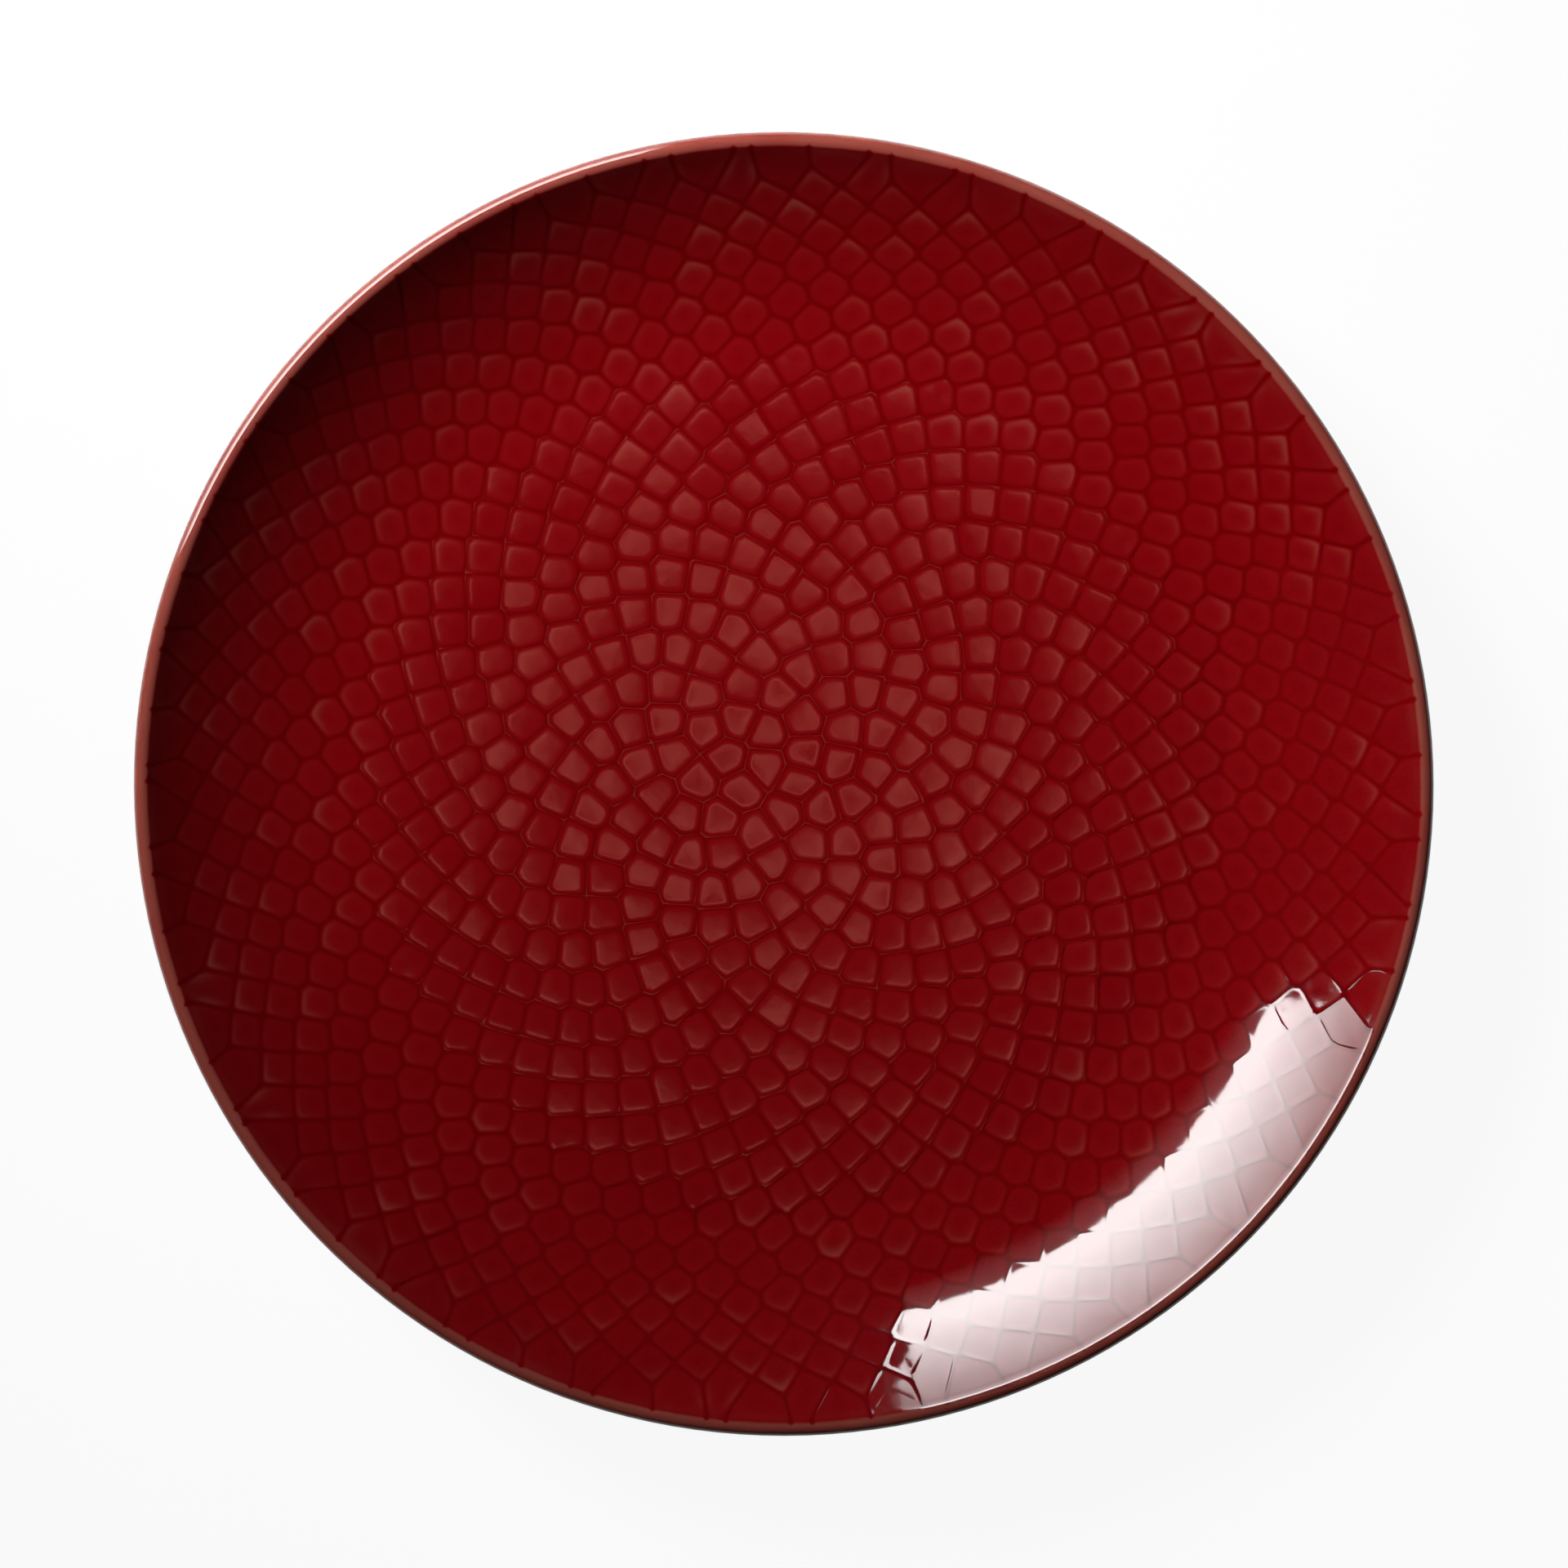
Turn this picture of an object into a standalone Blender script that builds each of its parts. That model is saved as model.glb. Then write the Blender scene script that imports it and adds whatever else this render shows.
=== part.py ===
"""A glazed stoneware coupe plate: the fired clay body, and the two coats of glaze that are fused onto it.

The front coat runs from the middle of the face over the lip and down the back to the foot ring, and
its face carries a relief of seeds in the order of a sunflower's head.
The foot ring is wiped clean before firing, so the base inside it has a coat of its own.
The plate stands on the XY plane, with its axis on Z. Sizes are in metres.
"""

import math

import bmesh
import bpy
from mathutils import Vector
from mathutils.geometry import delaunay_2d_cdt

# Finished sizes of the plate
PLATE_DIAMETER = 0.270
PLATE_HEIGHT = 0.030
LIP_THICKNESS = 0.0037
WALL_RUN = 0.046  # from the rim in to where the face starts to turn up, seen from above
FACE_DISH = 0.0034  # how far the middle of the face lies under the edge of its flat

# The clay and its foot ring
CLAY_FLOOR = 0.0040  # thickness of the clay in the middle
UNDERSIDE_SLOPE = math.radians(9)  # rise of the back from the foot ring out to the wall
BACK_TURN = 0.040  # from the rim in to where the back starts to turn up
FOOT_INSET = 0.056  # from the rim in to the outer side of the foot ring
FOOT_WIDTH = 0.0046
FOOT_HEIGHT = 0.0030
FOOT_DRAFT = math.radians(8)
FOOT_FILLET = 0.0015
FOOT_EDGE = 0.0006

# The glaze and the seeds of its relief
GLAZE_THICKNESS = 0.00035
GLAZE_GAP = 0.0003  # keeps the meshes of the clay and the glaze apart
GLAZE_LINE = 0.0011  # height on the foot ring at which the glaze is wiped away
SEED_PITCH = 0.0075  # width of a seed with its share of the groove round it
SEED_RISE = 0.0002  # height of a seed's crown over the grooves
SEED_BORDER = 0.0010  # plain band between the last seeds and the lip, along the face
SEED_LEAST_EDGE = 0.0003  # corners of the grooves that lie closer than this become one
GOLDEN_ANGLE = math.pi * (3 - math.sqrt(5))  # turn from each seed of a sunflower to the next

# Facets
AROUND = 60
DISH_STEPS = 2
WALL_STEPS = 6
LIP_STEPS = 2
BACK_STEPS = 4
CORNER_STEPS = 2

CLAY_COLOUR = (0.62, 0.52, 0.42, 1)
GLAZE_COLOUR = (0.19, 0.003, 0.006, 1)

COAT = GLAZE_GAP + GLAZE_THICKNESS
CLAY_RADIUS = PLATE_DIAMETER / 2 - COAT
CLAY_TOP = PLATE_HEIGHT - COAT
CLAY_LIP = LIP_THICKNESS / 2 - COAT  # radius of the clay's lip
FACE_MIDDLE = FOOT_HEIGHT + CLAY_FLOOR
FLAT_RADIUS = PLATE_DIAMETER / 2 - WALL_RUN
FOOT_RADIUS = PLATE_DIAMETER / 2 - FOOT_INSET
DOWN = -math.pi / 2


def toward(angle):
    return Vector((math.cos(angle), math.sin(angle)))


def angle_of(direction):
    return math.atan2(direction.y, direction.x)


# The section of the plate lies in the plane of radius and height. It runs clockwise round the clay,
# from the middle of the face out to the rim and back under the plate, as a list of (point, normal) pairs.


class Arc:
    """A round stretch of the section. bulge is 1 where the clay is inside the circle, and -1 outside."""

    def __init__(self, centre, radius, first, last, bulge):
        self.centre = centre
        self.radius = radius
        self.first = first
        self.last = last
        self.bulge = bulge
        self.length = radius * abs(last - first)

    def at(self, share):
        out = toward(self.first + (self.last - self.first) * share)
        return self.centre + self.radius * out, self.bulge * out

    def section(self, steps):
        return [self.at(step / steps) for step in range(steps + 1)]


def rounded(before, corner, after, radius):
    """A corner of an outline, rounded by an arc that touches both its sides."""
    into = (corner - before).normalized()
    away = (after - corner).normalized()
    side = math.copysign(1, into.x * away.y - into.y * away.x)  # 1 for a hollow corner, -1 for a proud one
    half_turn = math.acos(max(-1, min(1, into.dot(away)))) / 2
    start = corner - into * radius * math.tan(half_turn)
    to_centre = side * Vector((-into.y, into.x))
    first = angle_of(-to_centre)
    turn = Arc(start + radius * to_centre, radius, first, first + side * 2 * half_turn, -side)
    return turn.section(CORNER_STEPS)


def face_arcs():
    """The dished floor of the face, the wall that turns up from it, and the centre of the lip."""
    dish_radius = (FLAT_RADIUS**2 + FACE_DISH**2) / (2 * FACE_DISH)
    dish_angle = math.asin(FLAT_RADIUS / dish_radius)
    dish = Arc(Vector((0, FACE_MIDDLE + dish_radius)), dish_radius, DOWN, DOWN + dish_angle, -1)

    # The wall's arc leaves the dish along it and meets the round lip along that.
    flat_edge, flat_normal = dish.at(1)
    lip_centre = Vector((CLAY_RADIUS - CLAY_LIP, CLAY_TOP - CLAY_LIP))
    reach = lip_centre - flat_edge
    wall_radius = (reach.length_squared - CLAY_LIP**2) / (2 * (CLAY_LIP + reach.dot(flat_normal)))
    wall_centre = flat_edge + wall_radius * flat_normal
    wall = Arc(wall_centre, wall_radius, DOWN + dish_angle, angle_of(lip_centre - wall_centre), -1)
    return dish, wall, lip_centre


def lip_section(centre, start, end):
    """The lip in three stretches, so that its top and its outermost edge are corners of the section."""
    to_top = Arc(centre, CLAY_LIP, start, -DOWN, 1).section(LIP_STEPS)
    to_rim = Arc(centre, CLAY_LIP, -DOWN, 0, 1).section(LIP_STEPS)
    to_back = Arc(centre, CLAY_LIP, 0, end, 1).section(1)
    return to_top + to_rim[1:] + to_back[1:]


def back_and_foot(lip_centre, lip_start):
    """The lip and the back down to the foot ring, then the foot ring, then the base inside it."""
    slope = toward(UNDERSIDE_SLOPE)
    upright = Vector((-slope.y, slope.x))
    foot_root = Vector((FOOT_RADIUS, FOOT_HEIGHT))
    run = (PLATE_DIAMETER / 2 - BACK_TURN - FOOT_RADIUS) / slope.x
    turn_point = foot_root + run * slope
    reach = lip_centre - turn_point
    back_radius = (reach.length_squared - CLAY_LIP**2) / (2 * (reach.dot(upright) - CLAY_LIP))
    back_centre = turn_point + back_radius * upright
    lip_end = angle_of(lip_centre - back_centre)
    lip = lip_section(lip_centre, lip_start, lip_end)
    back = Arc(back_centre, back_radius, lip_end, angle_of(-upright), 1).section(BACK_STEPS)

    lean = FOOT_HEIGHT * math.tan(FOOT_DRAFT)
    foot_outside = Vector((FOOT_RADIUS - lean, 0))
    foot_inside = Vector((FOOT_RADIUS - FOOT_WIDTH + lean, 0))
    base_root = Vector((FOOT_RADIUS - FOOT_WIDTH, FOOT_HEIGHT))
    base_middle = Vector((0, FOOT_HEIGHT))
    outer_root = rounded(turn_point, foot_root, foot_outside, FOOT_FILLET)
    outer_edge = rounded(foot_root, foot_outside, foot_inside, FOOT_EDGE)
    inner_edge = rounded(foot_outside, foot_inside, base_root, FOOT_EDGE)
    inner_root = rounded(foot_inside, base_root, base_middle, FOOT_FILLET)
    base = [(base_middle, Vector((0, -1)))]
    return lip[1:] + back[1:] + outer_root, outer_edge + inner_edge, inner_root + base


def on_flank(section_end, height):
    """The point at a height on the straight side of the foot ring, beyond or before a section's end."""
    point, normal = section_end
    along = Vector((-normal.y, normal.x))
    return point + along * (height - point.y) / along.y, normal


def offset(section, distance):
    return [point + distance * normal for point, normal in section]


def glazed_lip(section):
    """The outer side of the glaze past the relief. It comes level with the seeds where it meets them."""
    outline = []
    for step, (point, normal) in enumerate(section):
        share = max(0, 1 - step / LIP_STEPS) ** 2
        outline.append(point + (COAT + share * SEED_RISE) * normal)
    return outline


# The relief is laid out flat, on a disc whose radius is the distance along the face from its middle.


def seeds_out_to(reach):
    """Points in the order of a sunflower's seeds, each with the same share of the disc."""
    spread = SEED_PITCH / math.sqrt(math.pi)
    count = math.ceil((reach / spread) ** 2)
    return [spread * math.sqrt(n + 0.5) * toward(n * GOLDEN_ANGLE) for n in range(count)]


def middle_of_circle(a, b, c):
    """The point as far from each of three points, which is a corner of the grooves between three seeds."""
    p = b - a
    q = c - a
    twice = 2 * (p.x * q.y - p.y * q.x)
    p2 = p.length_squared
    q2 = q.length_squared
    return a + Vector((q.y * p2 - p.y * q2, p.x * q2 - q.x * p2)) / twice


def sides_of(seeds, mirrored):
    """Where the seeds meet: the grooves among them, then their sides on the border, each as its two ends."""
    joined = delaunay_2d_cdt(seeds + mirrored, [], [], 0, 0)
    points = joined[0]
    source = [origin[0] for origin in joined[3]]
    ends = {}
    for a, b, c in joined[2]:
        corner = middle_of_circle(points[a], points[b], points[c])
        for pair in ((a, b), (b, c), (c, a)):
            ends.setdefault(tuple(sorted(source[i] for i in pair)), []).append(corner)
    grooves = [ends[pair] for pair in ends if pair[1] < len(seeds)]
    border = [ends[pair] for pair in ends if pair[0] < len(seeds) <= pair[1]]
    return grooves, border


def relief_layout(edge):
    """The relief on its disc: points, the height of each, and the triangles that join them."""
    reach = edge - SEED_BORDER
    seeds = seeds_out_to(reach - SEED_PITCH / 3)
    outer = [seed for seed in seeds if seed.length > reach - 2 * SEED_PITCH]
    mirrored = [seed * (2 * reach / seed.length - 1) for seed in outer]  # closes the outer seeds on the border
    grooves, border = sides_of(seeds, mirrored)
    low = [end for groove in grooves for end in groove]
    lines = [(i, i + 1) for i in range(0, len(low), 2)]
    high = seeds + [(first + last) / 2 for first, last in border]
    rim = [edge * toward(math.tau * i / AROUND) for i in range(AROUND)]
    first = len(low) + len(high)
    lines += [(first + i, first + (i + 1) % AROUND) for i in range(AROUND)]
    inside = 1  # keeps what lies within the closed line of the rim
    laid = delaunay_2d_cdt(low + high + rim, lines, [], inside, SEED_LEAST_EDGE)
    rises = [SEED_RISE if max(origin) >= len(low) else 0 for origin in laid[3]]
    return laid[0], rises, laid[2]


def relief_surface(dish, wall):
    """The relief laid onto the face of the glaze, as points and triangles."""
    points, rises, triangles = relief_layout(dish.length + wall.length)
    placed = []
    for flat, rise in zip(points, rises):
        along = flat.length
        if along < dish.length:
            point, normal = dish.at(along / dish.length)
        else:
            point, normal = wall.at((along - dish.length) / wall.length)
        at = point + (COAT + rise) * normal
        way = flat.normalized()
        placed.append((at.x * way.x, at.x * way.y, at.y))
    return placed, triangles


def turned(name, outline, closed):
    """A profile turned about Z. The outline runs clockwise round what is solid."""
    corners = [(point.x, 0, point.y) for point in outline]
    edges = [(i, i + 1) for i in range(len(corners) - 1)]
    if closed:
        edges.append((len(corners) - 1, 0))
    mesh = bpy.data.meshes.new(name)
    mesh.from_pydata(corners, edges, [])
    piece = bpy.data.objects.new(name, mesh)
    screw = piece.modifiers.new("turn", "SCREW")
    screw.axis = "Z"
    screw.steps = AROUND
    screw.render_steps = AROUND
    screw.use_merge_vertices = True
    screw.merge_threshold = 0.00001
    screw.use_smooth_shade = True
    return piece


def with_relief(shell, dish, wall, collection):
    """Closes a turned shell, open at the edge of its face, with the relief."""
    collection.objects.link(shell)
    seen = shell.evaluated_get(bpy.context.evaluated_depsgraph_get())
    mesh = bpy.data.meshes.new_from_object(seen)
    points, triangles = relief_surface(dish, wall)
    work = bmesh.new()
    work.from_mesh(mesh)
    placed = [work.verts.new(point) for point in points]
    for triangle in triangles:
        work.faces.new([placed[i] for i in triangle])
    bmesh.ops.remove_doubles(work, verts=work.verts, dist=0.00001)
    bmesh.ops.recalc_face_normals(work, faces=work.faces)
    work.to_mesh(mesh)
    work.free()
    mesh.shade_smooth()
    shell.modifiers.clear()
    shell.data = mesh
    return shell


def surface(name, colour, roughness):
    material = bpy.data.materials.new(name)
    material.use_nodes = True
    shader = material.node_tree.nodes["Principled BSDF"]
    shader.inputs["Base Color"].default_value = colour
    shader.inputs["Roughness"].default_value = roughness
    shader.inputs["Metallic"].default_value = 0
    return material


def build():
    for old in list(bpy.data.objects):
        bpy.data.objects.remove(old)
    plate = bpy.data.collections.new("stoneware_plate")
    bpy.context.scene.collection.children.link(plate)

    dish, wall, lip_centre = face_arcs()
    face = dish.section(DISH_STEPS) + wall.section(WALL_STEPS)[1:]
    back, foot, base = back_and_foot(lip_centre, wall.last + math.pi)
    clay_body = turned("clay_body", offset(face + back + foot + base, 0), closed=False)

    glazed = face + back
    glazed.append(on_flank(glazed[-1], GLAZE_LINE))
    under_face = offset(glazed, GLAZE_GAP)[::-1]
    past_relief = glazed_lip(glazed[len(face) - 1 :])
    glaze_coat = turned("glaze_coat", past_relief + under_face, closed=False)

    glazed_base = [on_flank(base[0], GLAZE_LINE)] + base
    under_base = offset(glazed_base, GLAZE_GAP)[::-1]
    base_glaze = turned("base_glaze", under_base + offset(glazed_base, COAT), closed=False)

    clay = surface("fired_clay", CLAY_COLOUR, 0.75)
    glaze = surface("red_glaze", GLAZE_COLOUR, 0.08)
    axis = bpy.data.objects.new("plate_axis", None)
    plate.objects.link(axis)
    with_relief(glaze_coat, dish, wall, plate)
    plate.objects.link(clay_body)
    plate.objects.link(base_glaze)
    for piece, material in ((clay_body, clay), (glaze_coat, glaze), (base_glaze, glaze)):
        piece.data.materials.append(material)
        piece.parent = axis


build()
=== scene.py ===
"""The looks of a red-glazed stoneware plate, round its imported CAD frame.

The glaze has a finely modelled relief of seeds, the clay shows bare on the foot ring, and the base has
its own coat of glaze. The plate is seen from above on a white floor. A softbox gives the highlight on its
wall, a flood lights it, and a small light above gives the sheen in its middle.
"""

import math
import random
from collections import namedtuple
from functools import partial

import bpy
from mathutils import Matrix, Vector, noise
from mathutils.geometry import delaunay_2d_cdt


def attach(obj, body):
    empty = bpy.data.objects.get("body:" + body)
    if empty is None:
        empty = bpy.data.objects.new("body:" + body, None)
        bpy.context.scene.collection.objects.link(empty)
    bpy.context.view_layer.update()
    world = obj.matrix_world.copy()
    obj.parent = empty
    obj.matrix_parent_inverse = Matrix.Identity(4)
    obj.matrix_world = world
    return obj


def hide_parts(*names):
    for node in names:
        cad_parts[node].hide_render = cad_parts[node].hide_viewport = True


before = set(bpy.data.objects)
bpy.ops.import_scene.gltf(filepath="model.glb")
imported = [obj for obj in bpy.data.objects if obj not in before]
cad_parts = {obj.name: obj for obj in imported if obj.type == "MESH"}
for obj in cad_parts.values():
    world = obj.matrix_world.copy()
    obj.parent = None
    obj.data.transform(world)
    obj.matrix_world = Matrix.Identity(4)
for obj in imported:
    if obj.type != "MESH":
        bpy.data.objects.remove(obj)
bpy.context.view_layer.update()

# Sizes of the plate, in metres
MM = 0.001
PLATE_RADIUS = 135 * MM
PLATE_HEIGHT = 30 * MM
LIP_THICKNESS = 3.7 * MM
WALL_RUN = 46 * MM  # from the rim in to where the face starts to turn up, seen from above
FACE_DISH = 3.4 * MM  # how far the middle of the face lies under the edge of its flat
CLAY_FLOOR = 4.0 * MM
UNDERSIDE_SLOPE = math.radians(9)
BACK_TURN = 40 * MM  # from the rim in to where the back starts to turn up
FOOT_INSET = 56 * MM
FOOT_WIDTH = 4.6 * MM
FOOT_HEIGHT = 3.0 * MM
FOOT_DRAFT = math.radians(8)
FOOT_FILLET = 1.5 * MM
FOOT_EDGE = 0.6 * MM
COAT = 0.65 * MM  # from the clay to the outside of the glaze
UNDER_COAT = 0.15 * MM  # from the clay to the hidden inside of the glaze
GLAZE_LINE = 1.1 * MM  # height on the foot ring at which the glaze was wiped away
GLAZE_LINE_WAVE = 0.2 * MM
GLAZE_LINE_NOISE = ((1.0, 5, 0), (0.5, 17, 2))  # share, fineness and shift of each part of that wave
GLAZE_BEAD = 0.55 * MM  # height of the rounded edge of the glaze above that line
GLAZE_TIP = 0.02 * MM  # from the clay to the very edge of the glaze

# The relief, laid out flat
SEED_PITCH = 7.5 * MM
SEED_BORDER = 1.0 * MM  # from the border of the seeds to the start of the lip
SEED_JITTER = 0.35 * MM
LAST_SEEDS = SEED_PITCH / 3  # from the border in to the last seeds
MIRRORED_BAND = 2 * SEED_PITCH  # seeds this near the border are mirrored in it, so that it ends them
GOLDEN_ANGLE = math.pi * (3 - math.sqrt(5))
SHORT_SIDE = 0.5 * MM  # corners of the grooves that are nearer than this are one corner

# Starts of the random draws
PLACE_DRAWS = 11
SHAPE_DRAWS = 5
# The last of these sets each seed's share of thin glaze and painted sheen.
BREAK_AND_SHEEN_DRAWS = 3

# How far the seeds stand out
SEED_RISE = 0.055 * MM  # from the grooves to the top of a seed in the dish
WALL_RISE = 0.045 * MM  # the same at the top of the wall
POOL_PLACE = 112 * MM  # from the middle, along the face, to where glaze has pooled in the grooves
POOL_WIDTH = 15 * MM
POOL_FILL = 0.72  # how much of the rise the pooled glaze takes away
SEED_TILT = 0.0018  # spread of the slopes of the seeds' tops
SEED_UNEVEN = 0.10  # spread of their heights, as a share
GROOVE_SIDE = 0.95 * MM  # from the middle of a groove to the shoulder of a seed
CROWN_RUN = 2.2 * MM  # from the shoulder in to where a seed's top is level
SHOULDER_SHARE = 0.85  # how much of its height a seed has at its shoulder
CORNER_ROUND = 0.33 * MM
LEAST_GROOVE = 1e-9  # keeps the logarithm finite far from every groove

# How thin the glaze is: 0 where it is full, and 1 where it has run off the lip
# On the seeds' shoulders part of this thinness is painted sheen: the light their tilted sides catch,
# painted as lighter, browner glaze.
EDGE_THIN_AND_SHEEN = 0.45  # on the shoulder of a seed: partly glaze breaking, partly painted sheen
TOP_THIN = 0.5  # on its top, as a share of that
SEED_BREAK_AND_SHEEN = (0.75, 1.15)  # how much this varies from one seed to the next, painted sheen included
GLAZE_RUN_AND_SHEEN = 0.43  # how much thinner and lighter it is on the outer side of a seed high on the wall; partly painted sheen
LIP_START_THIN = 0.5  # on the border and where the lip starts
LIP_THIN_STEP = 0.14  # more in each row of the lip after that
LIP_FADE = 2.6 * MM  # from the border in to where the glaze starts to thin towards the lip
BACK_THIN = 0.85  # just past the lip
BACK_THIN_STEPS = 4  # rows of the back in which this ends
BEAD_THIN = (0.25, 0.80)  # at the top and the tip of the rounded edge

# The mesh
AROUND = 180
RINGS = (0.25 * MM, 0.55 * MM, 0.95 * MM, 1.55 * MM)  # from the side of a seed in
RING_SHARES = (0.13, 0.29, 0.50, 0.75)  # the most of a narrow seed's half width that each ring takes
RING_ROUND = 9  # the higher, the closer a ring follows the corners of its seed
RING_GAP = 0.1  # the least gap between a ring and its seed's outline, as a share of the ring's inset
BORDER_INSET = 0.12  # how far a ring keeps off the border, as a share of the same
EDGE_STEP = 1.6 * MM  # between the points on a groove
BORDER_STEPS = (0.45 * MM, 0.95 * MM)  # from a corner on the border, where the groove runs out
BORDER_STEP_SHARE = 0.4  # the most of a side that such a step takes
GROOVE_END = (0.0, 0.12, 0.28, 0.48, 0.7, 0.9)  # how far a groove has run out, by the row of the lip
INNER_LIP_STEPS = 7
OUTER_LIP_STEPS = 9
BACK_STEPS = 14
FOOT_STEPS = 6
BEAD_STEPS = 5
HIDDEN_STEPS = (2, 6, 3, 4, 6)  # in the dish, wall, inner lip, outer lip and back of the hidden inside
CLAY_STEPS = (3, 8, 4, 6, 10)  # the same in the clay
BASE_SHARES = (0.8, 0.6, 0.4, 0.2)  # rows of the base, as shares of its radius
SHARP_ANGLE = math.radians(60)

# Unevenness of the hand-glazed form
FACE_WAVE = 0.012 * MM
FACE_WAVE_SCALE = 28  # the higher, the shorter the waves
RIM_WOBBLE = 0.2 * MM
RIM_FADE = 4  # power of the radius by which the wobble fades towards the middle
RIM_OUT = ((0.4, 3, 2.1), (-1.35, 2, math.pi / 2), (-1.0, 2, 0.0))  # share, number and phase of waves
RIM_UP = ((0.6, 2, 2.4), (0.4, 5, 0.0))

WHITE = (1, 1, 1, 1)
COLOURS = {
    "deep": (0.160, 0.0001, 0.0010, 1),
    "red": (0.200, 0.0002, 0.0024, 1),
    # thin: glaze run thin, and on the seeds' shoulders partly painted sheen
    "thin": (0.222, 0.0030, 0.0050, 1),
    "lip": (0.295, 0.0600, 0.0440, 1),
    "clay": (0.560, 0.460, 0.360, 1),
    "clay_dark": (0.380, 0.290, 0.215, 1),
    "clay_speck": (0.120, 0.075, 0.050, 1),
    "floor": (0.850, 0.850, 0.850, 1),
}

# The view
PICTURE_PIXELS = 1920  # width of the photo
PLATE_PIXELS = 1595  # width of the plate in it
FRAME_WIDTH = 2 * PLATE_RADIUS * PICTURE_PIXELS / PLATE_PIXELS  # at the height of the rim
CAMERA_DISTANCE = 1.4
CAMERA_LEAN = (-0.022, 0.042)  # how far the camera leans to the left and to the top of the picture
CAMERA_AIM = Vector((-0.15 * MM, 0.58 * MM, PLATE_HEIGHT - 2 * MM))
SENSOR_WIDTH = 36  # in millimetres, as the camera takes it

# The light. Levels are pairs of a place on a light and its brightness there.
HALF = 0.5  # of a light's own coordinates, which run from 0 to 1
SOFTBOX_PLACE = Vector((-0.588, 0.808, 0.770))
SOFTBOX_AIM = Vector((0.115, 0.118, 0))
SOFTBOX_SIZE = (1.65, 1.20)
SOFTBOX_TAPER = 0.307  # how much narrower each half is at the top, as a share of the width
SOFTBOX_SKEW = 0.06  # how far it leans to one side at the top, as a share of the same
SOFTBOX_SAG = 1.1  # how far its upper edge sags in the middle
SOFTBOX_LEVELS = ((0, 0.20), (0.19, 0.36), (0.44, 0.64), (0.69, 1), (0.788, 1), (0.80, 0.042), (1, 0))
SOFTBOX_RADIANCE = 11.5
FLAG_EDGE = (104 * MM, 111 * MM)  # radii between which the flag over the middle of the plate ends
FLAG_LEAK = 0.03  # share of the softbox that gets past the flag
FLOOD_PLACE = Vector((-0.520, 0.602, 0.517))
FLOOD_AIM = Vector((-0.07, 0.23, 0))  # the flood is brightest past the top of the picture
FLOOD_SIZE = (0.45, 0.45)
FLOOD_RADIANCE = 2.68
FLOOD_SPREAD = math.radians(44)
TOP_PLACE = Vector((0.035, -0.0672, 1.5))
TOP_AIM = Vector((0, 0, 0))
TOP_SIZE = (0.085, 0.085)
TOP_LEVELS = ((0.05, 0), (0.14, 1), (0.18, 1), (0.25, 0.55), (0.33, 0.18), (0.42, 0))
TOP_RADIANCE = 0.95
TOP_TINT = (1, 0.37, 0.29)
WORLD_FILL = 0.005
FLOOR_SIZE = 8
FLOOR_DROP = 0.1 * MM  # from the foot ring to the floor
FLOOR_WHITE = 0.93  # share of plain white in what the camera sees of the floor
FLOOR_MIRRORED = 0.3  # the same in what the glaze mirrors of it

CLAY_RADIUS = PLATE_RADIUS - COAT
CLAY_TOP = PLATE_HEIGHT - COAT
CLAY_LIP = LIP_THICKNESS / 2 - COAT
FACE_MIDDLE = FOOT_HEIGHT + CLAY_FLOOR
FLAT_RADIUS = PLATE_RADIUS - WALL_RUN
FOOT_RADIUS = PLATE_RADIUS - FOOT_INSET
DOWN = -math.pi / 2


def toward(angle):
    return Vector((math.cos(angle), math.sin(angle)))


def angle_of(direction):
    return math.atan2(direction.y, direction.x)


def between(first, last, share):
    return first + (last - first) * share


def clamp(value, low=0.0, high=1.0):
    return max(low, min(high, value))


def smooth(value):
    share = clamp(value)
    return share * share * (3 - 2 * share)


# The section of the clay, in the plane of radius and height, as lists of (point, normal) pairs. It runs
# from the middle of the face out to the rim and back under the plate.


class Arc:
    """A round stretch of the section. bulge is 1 where the clay is inside the circle, and -1 outside."""

    def __init__(self, centre, radius, first, last, bulge):
        self.centre = centre
        self.radius = radius
        self.first = first
        self.last = last
        self.bulge = bulge
        self.length = radius * abs(last - first)

    def at(self, share):
        out = toward(between(self.first, self.last, share))
        return self.centre + self.radius * out, self.bulge * out

    def section(self, steps):
        return [self.at(step / steps) for step in range(steps + 1)]


def rounded(before, corner, after, radius):
    """The arc that rounds a corner of an outline. It touches both sides of the corner."""
    into = (corner - before).normalized()
    away = (after - corner).normalized()
    side = math.copysign(1, into.x * away.y - into.y * away.x)
    half_turn = math.acos(clamp(into.dot(away), -1, 1)) / 2
    start = corner - into * radius * math.tan(half_turn)
    to_centre = side * Vector((-into.y, into.x))
    first = angle_of(-to_centre)
    last = first + side * 2 * half_turn
    return Arc(start + radius * to_centre, radius, first, last, -side)


def face_arcs():
    """The dished floor of the face, the wall that turns up from it, and the centre of the lip."""
    dish_radius = (FLAT_RADIUS**2 + FACE_DISH**2) / (2 * FACE_DISH)
    dish_angle = math.asin(FLAT_RADIUS / dish_radius)
    dish = Arc(Vector((0, FACE_MIDDLE + dish_radius)), dish_radius, DOWN, DOWN + dish_angle, -1)
    flat_edge, flat_normal = dish.at(1)
    lip_centre = Vector((CLAY_RADIUS - CLAY_LIP, CLAY_TOP - CLAY_LIP))
    reach = lip_centre - flat_edge
    wall_radius = (reach.length_squared - CLAY_LIP**2) / (2 * (CLAY_LIP + reach.dot(flat_normal)))
    wall_centre = flat_edge + wall_radius * flat_normal
    wall = Arc(wall_centre, wall_radius, DOWN + dish_angle, angle_of(lip_centre - wall_centre), -1)
    return dish, wall, lip_centre


DISH, WALL, LIP_CENTRE = face_arcs()
FACE_LENGTH = DISH.length + WALL.length


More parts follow.
